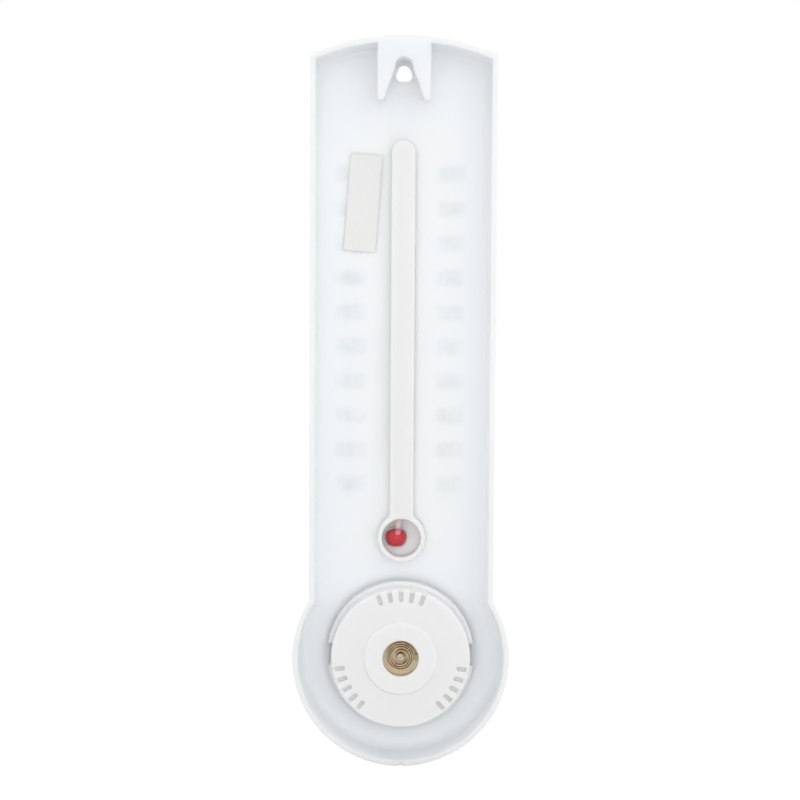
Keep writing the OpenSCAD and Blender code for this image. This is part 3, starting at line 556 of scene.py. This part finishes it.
def dial_print(material):
    """The humidity scale: 0 to 100 over 240 degrees, a bar for every 2, figures for every 10."""
    marks, words = [], []
    for percent in range(0, 101, 2):
        a = math.radians(210 - 2.4 * percent)
        long, wide = (2.2, 0.3) if percent % 10 == 0 else (1.3, 0.18)
        r = (16.9 - long / 2) * MM
        marks.append((r * math.cos(a), DIAL_Z + r * math.sin(a), long * MM, wide * MM, a))
        if percent % 10 == 0:
            r = 12.6 * MM
            words.append((str(percent), r * math.cos(a), DIAL_Z + r * math.sin(a), 1.9 * MM,
                          a - math.pi / 2))
    words.append(("%", 0, DIAL_Z - 8.6 * MM, 2.6 * MM, 0))
    points, faces = joined(bars(marks, DIAL_FACE), figures(words, DIAL_FACE))
    return piece("dial_print", points, faces, material, "case")


def dress():
    """Materials for the CAD nodes, and the pieces that are made here."""
    case = case_plastic()
    cover = moulded("white_polystyrene_neutral", "F9F9F9", "FBFBFB", 0.4)[0]
    housing = moulded("white_abs", "FAFAFA", "FCFCFC", 0.38)[0]
    trim = moulded("polished_white_abs", "EDEEEE", "F2F3F3", 0.16, grain_depth=0.001)[0]
    glass = drawn_glass("drawn_glass")
    window = drawn_glass("clear_styrene", 0.01)
    spirit = dyed_spirit()
    brass = metal("turned_brass", "B5A78E", "C6B79C", 0.45)
    pan = metal("pressed_brass_pan", "E2D6BF", "ECE2CE", 0.5)
    steel = metal("sprung_steel", "B4A797", "C6B9A8", 0.3)
    black = paint("black_lacquer", "141414", "1C1C1C", 0.35)
    ink = paint("screen_ink", "202224", "2A2C2E", 0.5)
    dressed = (
        (case, "case"), (cover, "tube_cover"), (housing, "module_housing"), (trim, "bezel_ring", "dial_spacer"),
        (glass, "glass_tube"), (window, "dial_window"), (spirit, "spirit_top"),
        (brass, "bearing_bush", "arbor", "coil_clip"), (pan, "coil_cup"), (steel, "friction_washer"),
        (black, "pointer", "pointer_hub"), (printed_board(), "dial_plate"), (needled_felt(), "dust_ring"),
        (label_paper(), "sticker"))
    for material, *nodes in dressed:
        for node in nodes:
            wear(node, material)
    bulb_filling(spirit)
    spirit_thread(spirit)
    humidity_strip(coil_finish())
    tube_backing(backing_enamel())
    thermometer_print(ink)
    dial_print(ink)


# Stage, light and camera

ROOM_LIGHT = 0.79                           # how strongly the white room lights the object
LAMP_AIM = (0, 0, -0.09)                    # the middle of the case
LAMPS = (                                   # name, place in metres, diameter in metres, power in watts
    ("rear_softbox", (-0.15, 0.75, 0.0), 1.0, 1.9),
    ("front_softbox", (0.1, -0.8, 0.1), 1.0, 1.0),
    ("left_softbox", (0.7, 0.0, -0.09), 0.7, 0.75),
    ("right_softbox", (-0.7, 0.0, -0.09), 0.7, 0.75),
    ("top_softbox", (0.0, 0.0, 0.61), 0.7, 0.3),
    ("low_softbox", (0.0, 0.0, -0.79), 0.7, 1.3))
FOCAL_PIXELS = 1863.66                      # the fitted focal length, in pixels of a picture 800 wide
FILM_WIDTH = 36


def set_stage():
    """A pale floor just under the hanging case, which fades into the same white as the background; it keeps a faint
    shadow, because a fifth of what is seen is its own lit surface."""
    size, z = 3.0, CAD_BOX[0][2] - 3 * MM
    points = [(-size, -size, z), (size, -size, z), (size, size, z), (-size, size, z)]
    mesh = bpy.data.meshes.new("floor")
    mesh.from_pydata(points, [], [(0, 1, 2, 3)])
    floor = bpy.data.objects.new("floor", mesh)
    bpy.context.scene.collection.objects.link(floor)
    made = bpy.data.materials.new("pale_floor")
    made.use_nodes = True
    tree = made.node_tree
    tree.nodes.clear()
    matt = add(tree, "ShaderNodeBsdfDiffuse", {"Color": linear("E6E6E6")})
    glow = add(tree, "ShaderNodeEmission", {"Strength": 1.2})
    mixed = add(tree, "ShaderNodeMixShader", {"Fac": sums(tree, "MULTIPLY", seen_directly(tree), 0.8)})
    tree.links.new(matt.outputs[0], mixed.inputs[1])
    tree.links.new(glow.outputs[0], mixed.inputs[2])
    add(tree, "ShaderNodeOutputMaterial", {"Surface": mixed.outputs[0]})
    mesh.materials.append(made)


def set_world():
    """An even white room: full white where it is seen, less where it lights."""
    world = bpy.data.worlds.new("white_room")
    world.use_nodes = True
    bpy.context.scene.world = world
    tree = world.node_tree
    back = tree.nodes["Background"]
    back.inputs["Color"].default_value = (1, 1, 1, 1)
    tree.links.new(spread(tree, seen_directly(tree), ROOM_LIGHT, 1.0, 0, 1), back.inputs["Strength"])


def softbox(name, at, size, power):
    """A round, soft lamp that faces the middle of the case."""
    light = bpy.data.lights.new(name, "AREA")
    light.shape = "DISK"
    light.size = size
    light.energy = power
    holder = bpy.data.objects.new(name, light)
    holder.location = at
    holder.rotation_euler = (Vector(LAMP_AIM) - Vector(at)).to_track_quat("-Z", "Y").to_euler()
    bpy.context.scene.collection.objects.link(holder)


def set_camera():
    """Behind the case, 509 mm from it, looking down by 3.34 degrees and turned by 0.36 degrees, as the photograph's
    converging sides and shifted depths ask."""
    away, pitch, roll = 509.04 * MM, math.radians(3.3405), math.radians(0.3603)
    aim = Vector((0.60 * MM, 0, -90.59 * MM))
    ahead = Vector((0, -math.cos(pitch), -math.sin(pitch)))
    right = Vector((-1, 0, 0))
    up = right.cross(ahead)
    right, up = (right * math.cos(roll) + up * math.sin(roll),
                 up * math.cos(roll) - right * math.sin(roll))
    data = bpy.data.cameras.new("camera")
    data.sensor_width = FILM_WIDTH
    data.lens = FILM_WIDTH * FOCAL_PIXELS / 800
    data.clip_start, data.clip_end = 0.01, 20
    camera = bpy.data.objects.new("camera", data)
    camera.matrix_world = Matrix.Translation(aim - ahead * away) @ Matrix(
        (right, up, -ahead)).transposed().to_4x4()
    bpy.context.scene.collection.objects.link(camera)
    bpy.context.scene.camera = camera


dress()
set_stage()
set_world()
for lamp in LAMPS:
    softbox(*lamp)
set_camera()
bpy.context.scene.view_settings.view_transform = "Standard"
